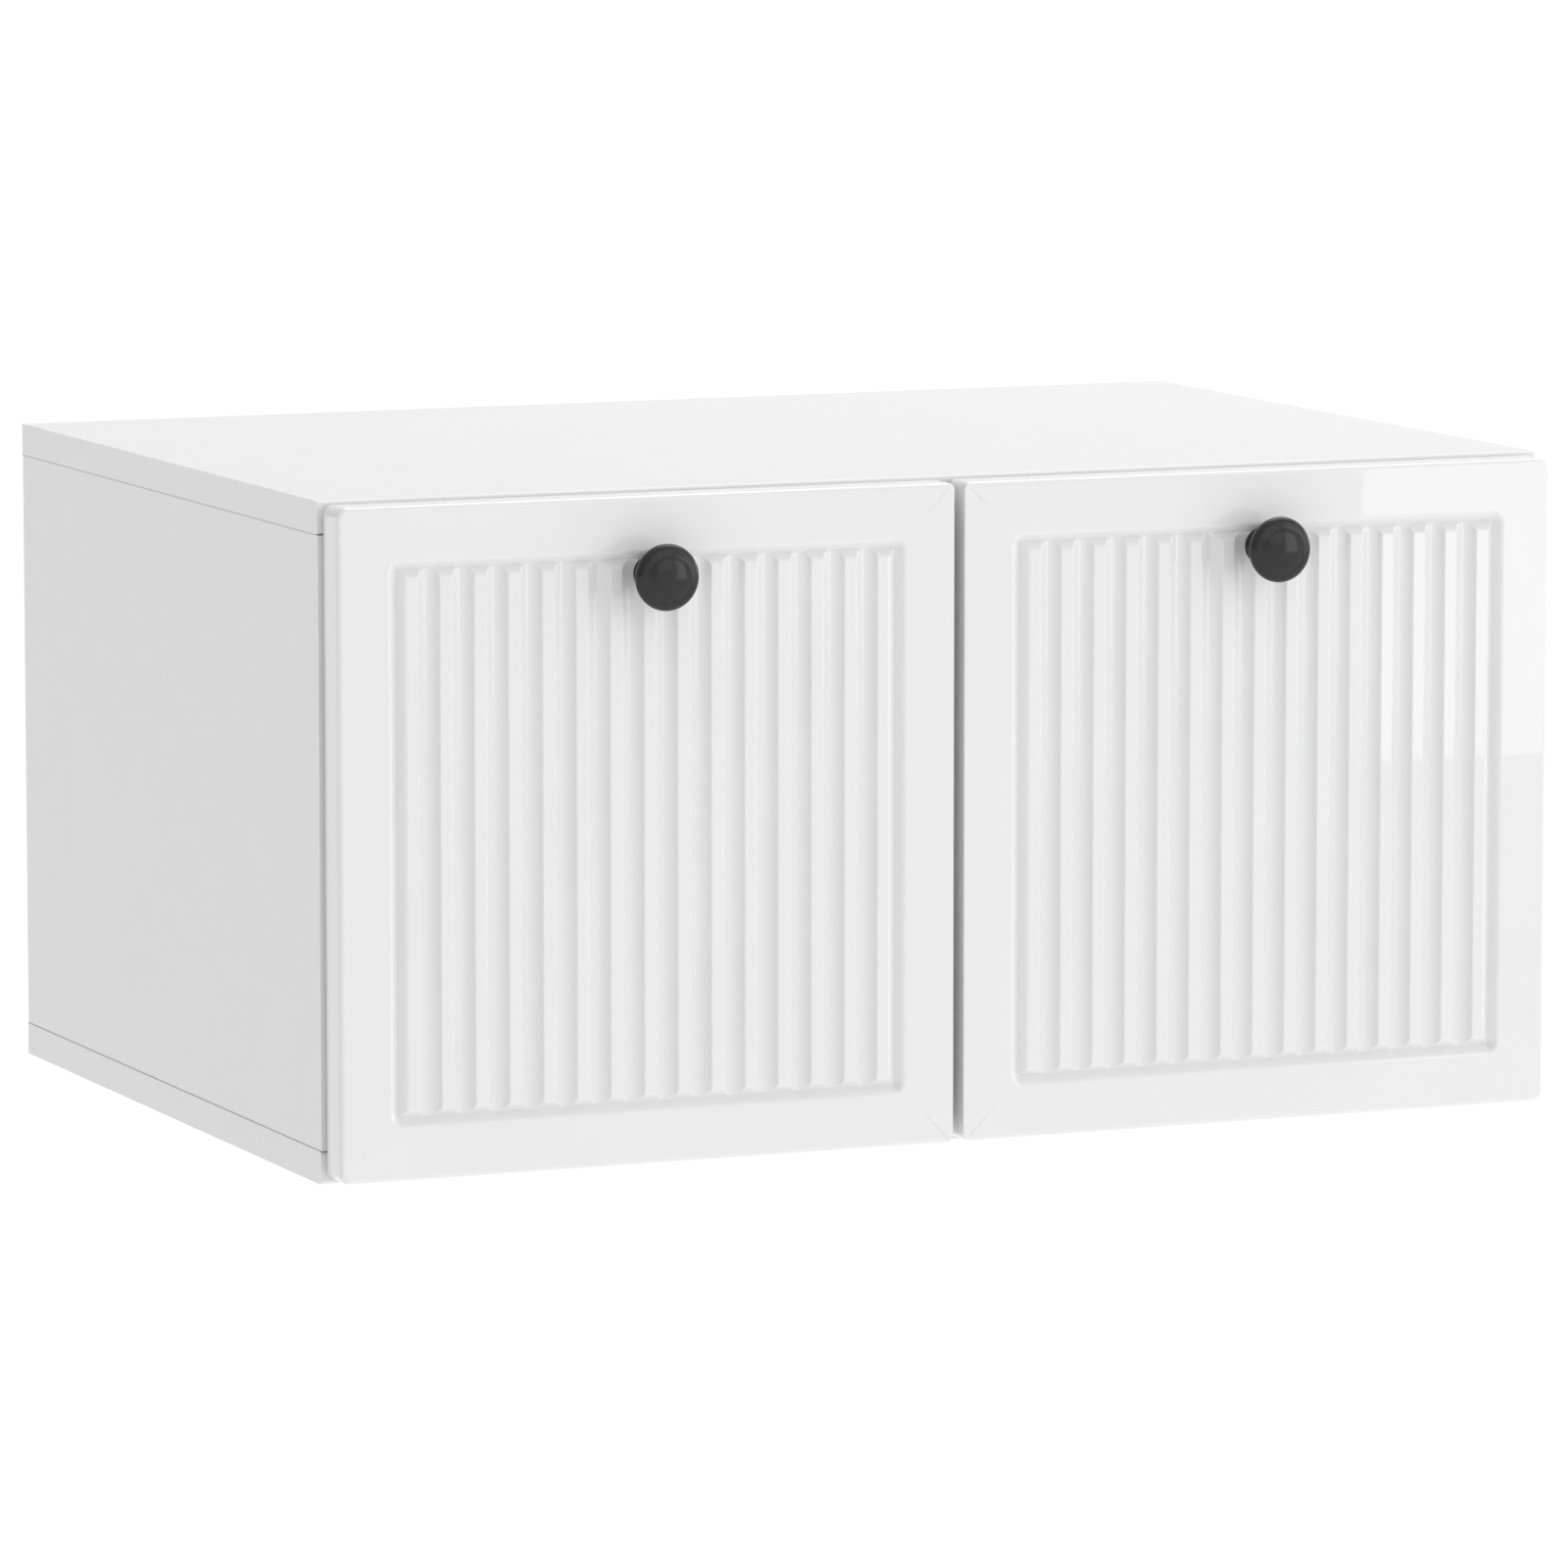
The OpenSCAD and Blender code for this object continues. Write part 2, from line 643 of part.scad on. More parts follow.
module strut_side_bracket(side) color(zinc) on_side(side) difference() {
    union() {
        along_x(inner_side - side_plate_t, inner_side)
            translate(strut_g) round_rect(-9, 9, -16, 22, 4, 4);
        strut_stud(inner_side - side_plate_t, strut_g);
    }
    side_screw_places() screw_hole(bracket_screw);
}

module strut_side_bracket_left() strut_side_bracket(-1);
module strut_side_bracket_right() strut_side_bracket(1);

module strut_side_screws() color(steel) for (side = [-1, 1]) on_side(side)
    side_screw_places() wood_screw(bracket_screw);

module flap_bracket_screw_places() {
    for (dz = [-10, 10])
        translate([inner_side - 14, -flap_gap + flap_plate_t, strut_f[1] + dz])
            rotate([0, 0, 180]) children();
}

// Angle bracket on the flap's back, with its ear beside the side board
module strut_flap_bracket(side) color(zinc) on_side(side) difference() {
    union() {
        along_y(-flap_gap, -flap_gap + flap_plate_t)
            round_rect(inner_side - 24, inner_side - ear_x, strut_f[1] - 16, strut_f[1] + 16, 4, 1);
        along_x(inner_side - ear_x - ear_t, inner_side - ear_x) union() {
            translate([-flap_gap, strut_f[1] - 8]) square([strut_f[0] + flap_gap, 16]);
            translate(strut_f) circle(r = 8);
        }
        strut_stud(inner_side - ear_x - ear_t, strut_f);
    }
    flap_bracket_screw_places() screw_hole(bracket_screw);
}

module strut_flap_bracket_left() strut_flap_bracket(-1);
module strut_flap_bracket_right() strut_flap_bracket(1);

module strut_flap_screws(side) color(steel) on_side(side)
    flap_bracket_screw_places() wood_screw(bracket_screw);

module strut_flap_screws_left() strut_flap_screws(-1);
module strut_flap_screws_right() strut_flap_screws(1);

// ---- magnet catches, strikes and pads ----

module catch_screw_places(side) {
    on_side(side) for (dx = [-14, 14])
        translate([flap_x + dx, 14, cab_h - board - catch_h + 2]) rotate([90, 0, 0]) children();
}

module magnet_catch(side) color(plastic_grey) difference() {
    on_side(side) union() {
        translate([0, 0, cab_h - board - catch_h]) linear_extrude(height = catch_h)
            translate([flap_x, 0]) round_rect(-catch_w / 2, catch_w / 2, 3, 26, 2, 2);
        for (z = [cab_h - board - catch_h + 2, cab_h - board - catch_h + 6.2])
            box(flap_x - 7, flap_x + 7, 0.3, 6, z, z + 1.8);
    }
    catch_screw_places(side) screw_hole(catch_screw);
}

module catch_left() magnet_catch(-1);
module catch_right() magnet_catch(1);

module catch_screws() color(steel) for (side = [-1, 1])
    catch_screw_places(side) wood_screw(catch_screw);

module strike_screw_places() {
    for (dx = [-15, 15])
        translate([flap_x + dx, -flap_gap + strike_t, cab_h - board - catch_h / 2])
            rotate([0, 0, 180]) children();
}

module strike(side) color(steel) on_side(side) difference() {
    along_y(-flap_gap, -flap_gap + strike_t)
        round_rect(flap_x - 21, flap_x + 21, cab_h - board - catch_h, cab_h - board - 0.5, 3, 3);
    strike_screw_places() screw_hole(strike_screw);
}

module strike_left() strike(-1);
module strike_right() strike(1);

module strike_screws(side) color(steel) on_side(side)
    strike_screw_places() wood_screw(strike_screw);

module strike_screws_left() strike_screws(-1);
module strike_screws_right() strike_screws(1);

// Soft pads between a flap and the front edge of the top board
module pads(side) color(silicone) on_side(side) for (dx = [-1, 1])
    rod_y([flap_x + dx * (flap_w / 2 - pad_inset), -flap_gap, cab_h - board / 2], pad_r, flap_gap - 0.3);

module pads_left() pads(-1);
module pads_right() pads(1);

// ---- hangers and wall rail ----

module hanger_screw_places() {
    for (dz = [8, 36])
        translate([inner_side - hanger_t + 10, back_y - hanger_l / 2 - 8, hanger_z + dz])
            rotate([0, 0, -90]) children();
}

// Housing on the side board, hollow for the hook's arm
module hanger(side) color(plastic_grey) on_side(side) difference() {
    along_x(inner_side - hanger_t, inner_side)
        round_rect(back_y - hanger_l - 1, back_y - 1, hanger_z, hanger_z + hanger_h, 3, 1);
    box(hook_x - hook_w / 2 - 0.3, hook_x + hook_w / 2 + 0.3, back_y - 14, back_y, hook_z - 8, hook_z + 10);
    hanger_screw_places() screw_hole(hanger_screw);
    hanger_screw_places() rod_y([0, -20, 0], 3.7, 20.2);
}

module hanger_left() hanger(-1);
module hanger_right() hanger(1);

// Steel hook: arm through the back panel, turned down behind the rail's lip
module hanger_hook(side) color(steel) on_side(side)
    along_x(hook_x - hook_w / 2, hook_x + hook_w / 2) union() {
        translate([back_y - 13.5, hook_z - 6]) square([4, 14]);
        translate([back_y - 13.5, hook_z + 4]) square([13.5 + back_t + 11.2, 4]);
        translate([back_y + back_t + 8.2, hook_z - 4]) square([3, 9]);
    }

module hanger_hook_left() hanger_hook(-1);
module hanger_hook_right() hanger_hook(1);

module hanger_screws() color(steel) for (side = [-1, 1]) on_side(side)
    hanger_screw_places() wood_screw(hanger_screw);

// Rail on the wall: flat strip with a stepped-out upright lip
module wall_rail() color(steel) difference() {
    along_x(-rail_w / 2, rail_w / 2) union() {
        translate([cab_d - rail_t, hook_z - 30]) square([rail_t, 22]);
        translate([cab_d - rail_t - 9, hook_z - 10]) square([9 + rail_t, rail_t]);
        translate([cab_d - rail_t - 9, hook_z - 10]) square([rail_t, 13.7]);
    }
    for (x = [-rail_hole_x, rail_hole_x])
        rod_y([x, cab_d - rail_t - 1, hook_z - 20], rail_hole_r, rail_t + 2);
}

// ---- nodes ----

placed() top_panel();
placed() bottom_panel();
placed() side_left();
placed() side_right();
placed() divider();
placed() back_panel();
placed() flap_left();
placed() flap_right();
placed() knob_left();
placed() knob_right();
placed() knob_screw_left();
placed() knob_screw_right();
placed() hinge_cup_left_outer();
placed() hinge_cup_left_inner();
placed() hinge_cup_right_inner();
placed() hinge_cup_right_outer();
placed() hinge_arm_left_outer();
placed() hinge_arm_left_inner();
placed() hinge_arm_right_inner();
placed() hinge_arm_right_outer();
placed() hinge_plate_left_outer();
placed() hinge_plate_left_inner();
placed() hinge_plate_right_inner();
placed() hinge_plate_right_outer();
placed() hinge_pins_left();
placed() hinge_pins_right();
placed() cup_screws_left();
placed() cup_screws_right();
placed() plate_screws();
placed() arm_screws();
placed() strut_tube_left();
placed() strut_tube_right();
placed() strut_rod_left();
placed() strut_rod_right();
placed() strut_side_bracket_left();
placed() strut_side_bracket_right();
placed() strut_flap_bracket_left();
placed() strut_flap_bracket_right();
placed() strut_side_screws();
placed() strut_flap_screws_left();
placed() strut_flap_screws_right();
placed() catch_left();
placed() catch_right();
placed() strike_left();
placed() strike_right();
placed() catch_screws();
placed() strike_screws_left();
placed() strike_screws_right();
placed() pads_left();
placed() pads_right();
placed() cam_locks();
placed() cam_bolts();
placed() dowels();
placed() hanger_left();
placed() hanger_right();
placed() hanger_hook_left();
placed() hanger_hook_right();
placed() hanger_screws();
placed() wall_rail();
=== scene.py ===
"""Looks for the hanging wall cabinet: gloss fluted flaps, foil-covered carcass, turned knobs, hardware."""
import json
import math

import bmesh
import bpy
import numpy as np
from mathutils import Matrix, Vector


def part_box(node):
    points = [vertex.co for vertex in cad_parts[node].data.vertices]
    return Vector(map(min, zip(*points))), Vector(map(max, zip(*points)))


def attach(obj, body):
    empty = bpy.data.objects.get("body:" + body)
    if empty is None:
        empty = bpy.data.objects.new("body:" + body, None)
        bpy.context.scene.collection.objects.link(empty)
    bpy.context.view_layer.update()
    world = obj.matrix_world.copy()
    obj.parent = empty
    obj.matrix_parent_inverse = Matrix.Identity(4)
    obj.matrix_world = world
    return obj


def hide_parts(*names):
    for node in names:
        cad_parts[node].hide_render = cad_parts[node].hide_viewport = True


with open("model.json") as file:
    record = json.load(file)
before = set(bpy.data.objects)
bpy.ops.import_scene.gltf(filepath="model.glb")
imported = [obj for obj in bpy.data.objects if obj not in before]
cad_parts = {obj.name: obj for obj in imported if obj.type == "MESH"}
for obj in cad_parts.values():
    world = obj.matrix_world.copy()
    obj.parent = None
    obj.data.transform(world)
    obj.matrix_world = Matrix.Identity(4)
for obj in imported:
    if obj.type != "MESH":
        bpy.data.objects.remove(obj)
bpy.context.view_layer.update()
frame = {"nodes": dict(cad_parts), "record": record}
MM = 0.001
SIDES = ("left", "right")

# The flaps' milled field, in metres: border, groove, flutes and land are the CAD's own sizes
BORDER = 24.5 * MM
GROOVE = 3.6 * MM
FLUTES = 14
LAND = 6.0 * MM
FLUTE_DEPTH = 3.4 * MM
FIELD_R = 1.2 * MM          # rounded corners of the groove's middle line, sharp in the CAD
GROOVE_SOFT = 0.25 * MM     # rounding at the bottom of the groove
CUT_SOFT = 0.5 * MM         # rounding where the flutes meet the groove
LAND_SOFT = 1.0 * MM        # rounding where a cut meets the flat front
WALL_PART = 0.97            # part of a flute's radius used as an arc, straight beyond it
MESH_STEP = 0.33            # spacing of the mesh across the groove, in mm
DIGITS = 7                  # mesh positions are rounded to 0.1 micrometre

# A flap's outline, a little crisper than the CAD's
EDGE_R = 2.4 * MM           # rounded front edges
MEET_R = 0.5 * MM           # the same at the edge where the flaps meet
BACK_R = 0.8 * MM           # rounded back edges
CORNER_R = 4.6 * MM
MEET_CORNER_R = 3.2 * MM
LEDGE = 0.35 * MM           # narrow flat strip beside each rounded edge
BACK_LEDGE = 0.3 * MM       # the same ahead of the rounded back edge
ARC_STEPS = 8               # parts of each rounded corner of the outline
CUP_R = 17.5 * MM
CUP_DEPTH = 12.2 * MM
CUP_MARGIN = 3 * MM         # board left between a cup hole and the flap's edge
CUP_STEPS = 72

KNOB_R = 15.0 * MM
KNOB_FOOT_R = 8.4 * MM
KNOB_FOOT_H = 1.4 * MM
KNOB_WAIST_R = 5.6 * MM
KNOB_RIM_R = 3.5 * MM
KNOB_RIM_DOWN = 5.5 * MM    # middle of the rim, below the top of the head
KNOB_DOME_R = 34.5 * MM
KNOB_STEPS = 96


# ---- materials ----

def node(tree, kind, **values):
    """Adds a node and sets its input sockets by name."""
    made = tree.nodes.new(kind)
    for key, value in values.items():
        made.inputs[key.replace("_", " ")].default_value = value
    return made


def noise(tree, where, scale, detail=4.0, rough=0.55):
    made = node(tree, "ShaderNodeTexNoise", Scale=scale, Detail=detail, Roughness=rough)
    tree.links.new(where, made.inputs["Vector"])
    return made.outputs["Fac"]


def spread(tree, value, low, high, start=0.3, end=0.7):
    """Maps a noise value to a range of numbers."""
    made = node(tree, "ShaderNodeMapRange", From_Min=start, From_Max=end, To_Min=low, To_Max=high)
    tree.links.new(value, made.inputs["Value"])
    return made.outputs["Result"]


def blend(tree, value, dark, light):
    """Mixes two colours by a value."""
    made = tree.nodes.new("ShaderNodeMix")
    made.data_type = "RGBA"
    made.inputs["A"].default_value = (*dark, 1.0)
    made.inputs["B"].default_value = (*light, 1.0)
    tree.links.new(value, made.inputs["Factor"])
    return made.outputs["Result"]


def bump(tree, value, height, strength=1.0, below=None):
    made = node(tree, "ShaderNodeBump", Strength=strength, Distance=height)
    tree.links.new(value, made.inputs["Height"])
    if below is not None:
        tree.links.new(below, made.inputs["Normal"])
    return made.outputs["Normal"]


def surface(name, dark, light, rough, sizes, heights, stretch=(1, 1, 1), metallic=0.0,
            coat=0.0, coat_rough=0.03, specular=0.5, grain=None):
    """A Principled material whose colour, roughness and bump come from noise at three sizes (in 1/m)."""
    mat = bpy.data.materials.new(name)
    mat.use_nodes = True
    tree = mat.node_tree
    shader = tree.nodes["Principled BSDF"]
    where = tree.nodes.new("ShaderNodeTexCoord").outputs["Object"]
    mapping = node(tree, "ShaderNodeMapping", Scale=stretch)
    tree.links.new(where, mapping.inputs["Vector"])
    placed = mapping.outputs["Vector"]
    colour_at, rough_at, bump_at = sizes
    tone = spread(tree, noise(tree, placed, colour_at), 0.0, 1.0)
    if grain:
        wave = node(tree, "ShaderNodeTexWave", Scale=grain[0], Distortion=grain[1], Detail=3.0,
                    Detail_Scale=1.2)
        tree.links.new(placed, wave.inputs["Vector"])
        tone = wave.outputs["Fac"]
    tree.links.new(blend(tree, tone, dark, light), shader.inputs["Base Color"])
    tree.links.new(spread(tree, noise(tree, placed, rough_at), *rough), shader.inputs["Roughness"])
    fine = bump(tree, noise(tree, placed, bump_at, 6.0, 0.6), heights[0])
    broad = bump(tree, noise(tree, placed, bump_at / 9, 2.0, 0.4), heights[1], 1.0, fine)
    tree.links.new(broad, shader.inputs["Normal"])
    shader.inputs["Metallic"].default_value = metallic
    shader.inputs["Specular IOR Level"].default_value = specular
    shader.inputs["Coat Weight"].default_value = coat
    shader.inputs["Coat Roughness"].default_value = coat_rough
    return mat


def grey(value, tint=(1, 1, 1)):
    return tuple(value * t for t in tint)


def paint_joint_shade(mat, inner_x, heights, half_width=0.2 * MM, shade=0.45):
    """Painted shade: dark hairlines of shadow in the joints where the side boards meet the top and bottom
    boards.
    """
    tree = mat.node_tree
    shader = tree.nodes["Principled BSDF"]
    colour = shader.inputs["Base Color"].links[0].from_socket
    parts = tree.nodes.new("ShaderNodeSeparateXYZ")
    tree.links.new(tree.nodes.new("ShaderNodeTexCoord").outputs["Object"], parts.inputs["Vector"])

    def math_node(kind, a, b=None):
        made = tree.nodes.new("ShaderNodeMath")
        made.operation = kind
        for socket, value in zip(made.inputs, (a, b)):
            if isinstance(value, float):
                socket.default_value = value
            elif value is not None:
                tree.links.new(value, socket)
        return made.outputs["Value"]

    outside = math_node("GREATER_THAN", math_node("ABSOLUTE", parts.outputs["X"]), inner_x + 1.0 * MM)
    gaps = [math_node("ABSOLUTE", math_node("SUBTRACT", parts.outputs["Z"], z)) for z in heights]
    # Painted shade: the base colour turns to the shade value within half_width of each joint height, on the
    # boards' outer faces
    line = spread(tree, math_node("MINIMUM", *gaps), 1.0, 0.0, half_width, 1.7 * half_width)
    mix = tree.nodes.new("ShaderNodeMix")
    mix.data_type = "RGBA"
    tree.links.new(math_node("MULTIPLY", line, outside), mix.inputs["Factor"])
    tree.links.new(colour, mix.inputs["A"])
    mix.inputs["B"].default_value = (shade, shade, shade, 1.0)
    tree.links.new(mix.outputs["Result"], shader.inputs["Base Color"])


foil_joint_shade = surface("white_foil_joint_shade", grey(0.805), grey(0.815), (0.32, 0.38), (35, 160, 3200), (8e-6, 6e-6),
               specular=0.4)
# The foil carries painted shade along the joints of the carcass boards
side_lo, side_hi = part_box("side_right")
paint_joint_shade(foil_joint_shade, float(side_lo[0]), (float(side_lo[2]), float(side_hi[2])))
gloss = surface("white_gloss", grey(0.795), grey(0.81), (0.16, 0.22), (18, 90, 700), (2e-6, 4e-6),
                coat=1.0, coat_rough=0.012, specular=0.08)
hardboard = surface("back_board_paint", grey(0.70), grey(0.76), (0.5, 0.62), (60, 220, 1900), (5e-5, 6e-5))
knob_paint = surface("knob_anthracite", grey(0.021), grey(0.026), (0.14, 0.19), (220, 700, 5200),
                     (3e-6, 5e-6), specular=0.3)
strut_paint = surface("strut_black", grey(0.022), grey(0.034), (0.28, 0.4), (160, 600, 4200), (8e-6, 1e-5))
nickel = surface("nickel_steel", grey(0.58, (1, 0.985, 0.95)), grey(0.68, (1, 0.985, 0.95)), (0.2, 0.34),
                 (240, 420, 3200), (4e-6, 8e-6), stretch=(1, 6, 6), metallic=1.0)
rolled = surface("galvanised_steel", grey(0.46, (0.97, 0.99, 1)), grey(0.66, (0.97, 0.99, 1)), (0.32, 0.5),
                 (70, 160, 2400), (1e-5, 3e-5), metallic=1.0)
casting = surface("zinc_casting", grey(0.42, (1, 0.99, 0.97)), grey(0.52, (1, 0.99, 0.97)), (0.34, 0.48),
                  (300, 500, 3600), (2.5e-5, 2e-5), metallic=1.0)
moulded = surface("grey_moulding", grey(0.62, (1, 1, 0.99)), grey(0.68, (1, 1, 0.99)), (0.42, 0.55),
                  (120, 400, 5200), (1.6e-5, 1e-5))
beech = surface("beech_wood", (0.47, 0.29, 0.15), (0.62, 0.42, 0.24), (0.55, 0.7), (90, 260, 2400),
                (6e-5, 3e-5), stretch=(1, 1, 0.2), grain=(55, 6.0))
silicone = surface("clear_silicone", (0.68, 0.72, 0.74), (0.76, 0.8, 0.82), (0.2, 0.35), (200, 400, 2600),
                   (8e-6, 2e-5))
soft_inputs = silicone.node_tree.nodes["Principled BSDF"].inputs
soft_inputs["Subsurface Weight"].default_value = 0.4
soft_inputs["Subsurface Scale"].default_value = 2.0 * MM

BY_SLOT = {"carcass_board": foil_joint_shade, "back_board": hardboard, "flap_gloss": gloss, "knob_dark": knob_paint,
           "strut_dark": strut_paint, "bright_steel": nickel, "rail_steel": rolled, "zinc": casting,
           "grey_plastic": moulded, "pad_clear": silicone, "beech": beech}
for part in frame["record"]["subparts"]:
    shown = frame["nodes"][part["node"]]
    for place in shown.material_slots:
        place.material = BY_SLOT[part["material_slot"]]


# ---- mesh helpers ----

def add_object(name, verts, faces, material, body, slot_name, *replaced):
    mesh = bpy.data.meshes.new(name)
    mesh.from_pydata([tuple(v) for v in verts], [], faces)
    mesh.materials.append(material)
    made = bpy.data.objects.new(name, mesh)
    bpy.context.scene.collection.objects.link(made)
    work = bmesh.new()
    work.from_mesh(mesh)
    bmesh.ops.recalc_face_normals(work, faces=work.faces)
    work.to_mesh(mesh)
    work.free()
    mesh.shade_smooth()
    mesh.set_sharp_from_angle(angle=math.radians(38))
    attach(made, body)
    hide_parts(*replaced)
    return made


def smooth_min(a, b, k):
    """The lower of two heights, with the edge between them rounded over k."""
    h = np.maximum(k - np.abs(a - b), 0.0) / k
    return np.minimum(a, b) - h * h * k / 4


def field_height(x, z, half_w, half_h):
    """Height of the milled front at x, z from the field's middle: 0 on the lands, negative in the cuts."""
    gx, gz = half_w - GROOVE, half_h - GROOVE
    qx, qz = np.abs(x) - gx + FIELD_R, np.abs(z) - gz + FIELD_R
    outside = np.hypot(np.maximum(qx, 0), np.maximum(qz, 0)) + np.minimum(np.maximum(qx, qz), 0) - FIELD_R
    groove = np.sqrt(outside ** 2 + GROOVE_SOFT ** 2) - GROOVE
    pitch = (2 * half_w - 4 * GROOVE - LAND) / FLUTES
    width = pitch - LAND
    radius = ((width / 2) ** 2 + FLUTE_DEPTH ** 2) / (2 * FLUTE_DEPTH)
    index = np.clip(np.round(x / pitch + (FLUTES - 1) / 2), 0, FLUTES - 1)
    u = np.abs(x - (index - (FLUTES - 1) / 2) * pitch)
    reach = WALL_PART * radius
    slope = reach / math.sqrt(radius ** 2 - reach ** 2)
    arc = (radius - FLUTE_DEPTH) - np.sqrt(np.maximum(radius ** 2 - np.minimum(u, reach) ** 2, 0))
    flute = np.where(u < reach, arc, arc + (u - reach) * slope)
    flute = np.where(outside < 0, flute, 1.0)
    cut = smooth_min(groove, flute, CUT_SOFT)
    return np.minimum(smooth_min(np.zeros_like(cut), cut, LAND_SOFT), 0.0)


def samples_across(half_w):
    """Where the mesh has columns: close together at the edges of the flutes and in the groove."""
    pitch = (2 * half_w - 4 * GROOVE - LAND) / FLUTES
    half = (pitch - LAND) / 2
    # In mm, for a flute whose half width is 5.08 mm
    near = [0, 0.7, 1.4, 2.1, 2.8, 3.4, 3.9, 4.3, 4.6, 4.8, 4.95, 5.1, 5.25, 5.4, 5.6, 5.9, 6.4]
    xs = {0.0}
    for i in range(FLUTES):
        middle = (i - (FLUTES - 1) / 2) * pitch
        for step in near:
            for sign in (-1, 1):
                xs.add(round(middle + sign * step * half / 5.08, DIGITS))
    gx = half_w - GROOVE
    for step in np.arange(-5.0, 5.01, MESH_STEP):
        for sign in (-1, 1):
            xs.add(round(sign * (gx + step * MM), DIGITS))
    return np.array(sorted(xs))


def samples_up(half_h):
    """Where the mesh has rows: close together in the groove, far apart along the flutes."""
    gz = half_h - GROOVE
    zs = set()
    for step in np.arange(-6.0, 5.01, MESH_STEP):
        for sign in (-1, 1):
            zs.add(round(sign * (gz + step * MM), DIGITS))
    inner = gz - 7 * MM
    for part in range(9):
        zs.add(round(inner * (part / 4 - 1), DIGITS))
    return np.array(sorted(zs))


def arc_points(centre, radius, start, count):
    """Points and outward directions of a quarter turn, without its two ends."""
    out = []
    for k in range(1, count):
        a = start + math.pi / 2 * k / count
        across, up = math.cos(a), math.sin(a)
        out.append((centre[0] + radius * across, centre[1] + radius * up, across, up))
    return out


